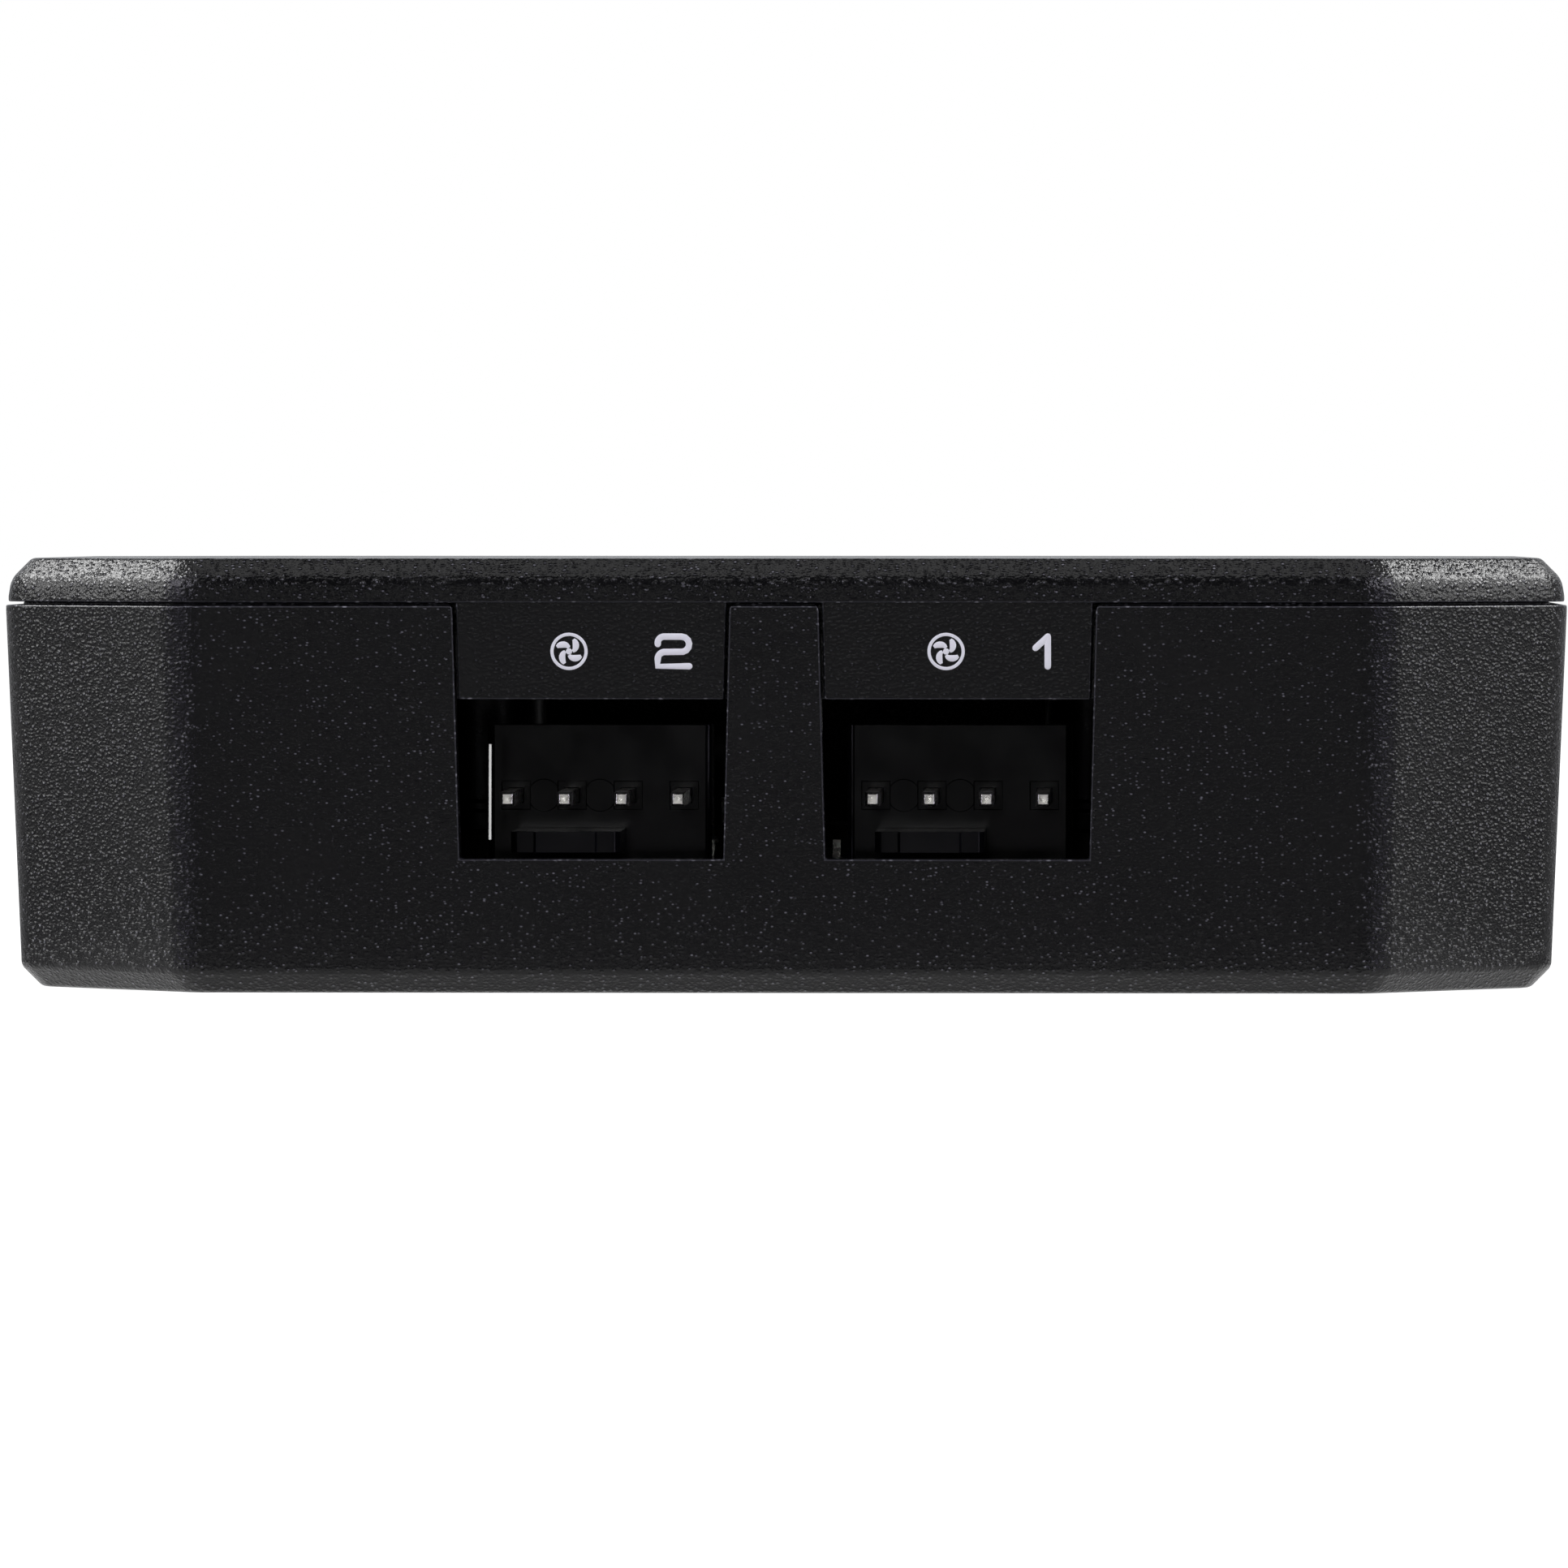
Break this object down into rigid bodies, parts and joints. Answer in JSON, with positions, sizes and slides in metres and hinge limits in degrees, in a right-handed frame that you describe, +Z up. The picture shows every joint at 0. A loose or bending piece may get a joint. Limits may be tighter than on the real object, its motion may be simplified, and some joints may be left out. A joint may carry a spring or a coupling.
{
  "type": "fan controller hub",
  "caption": "Small black controller box that feeds and steers case fans, with keyed pin headers in its front and a power and a signal inlet in its back.",
  "frame": {"origin": "middle of the flat underside, which the housing stands on", "axes": "+X to the right of someone who looks at the fan ports, +Y away from them towards the back, +Z up; the fan ports face -Y"},
  "size_m": [0.0706, 0.052, 0.0194],
  "materials": {
    "housing_abs": "black, fine spark-eroded grain",
    "connector_nylon": "black, smooth",
    "tinned_pins": "bright tin plate",
    "screw_steel": "black zinc",
    "board_laminate": "black solder mask",
    "chip_epoxy": "black moulded package",
    "can_metal": "drawn aluminium",
    "inductor_ferrite": "dark grey",
    "capacitor_ceramic": "tan"
  },
  "bodies": {
    "root": {"base_shell": "housing_abs", "top_cover": "housing_abs", "case_screws": "screw_steel", "circuit_board": "board_laminate", "fan_header_1": "connector_nylon", "fan_header_1_pins": "tinned_pins", "fan_header_2": "connector_nylon", "fan_header_2_pins": "tinned_pins", "signal_header": "connector_nylon", "signal_header_pins": "tinned_pins", "power_inlet": "connector_nylon", "power_inlet_contacts": "tinned_pins", "controller_chip": "chip_epoxy", "controller_chip_leads": "tinned_pins", "crystal": "can_metal", "voltage_regulator": "chip_epoxy", "voltage_regulator_leads": "tinned_pins", "channel_transistors": "chip_epoxy", "channel_transistor_leads": "tinned_pins", "capacitor_cans": "can_metal", "capacitor_bases": "chip_epoxy", "inductors": "inductor_ferrite", "chip_resistors": "chip_epoxy", "chip_capacitors": "capacitor_ceramic"}
  },
  "joints": []
}
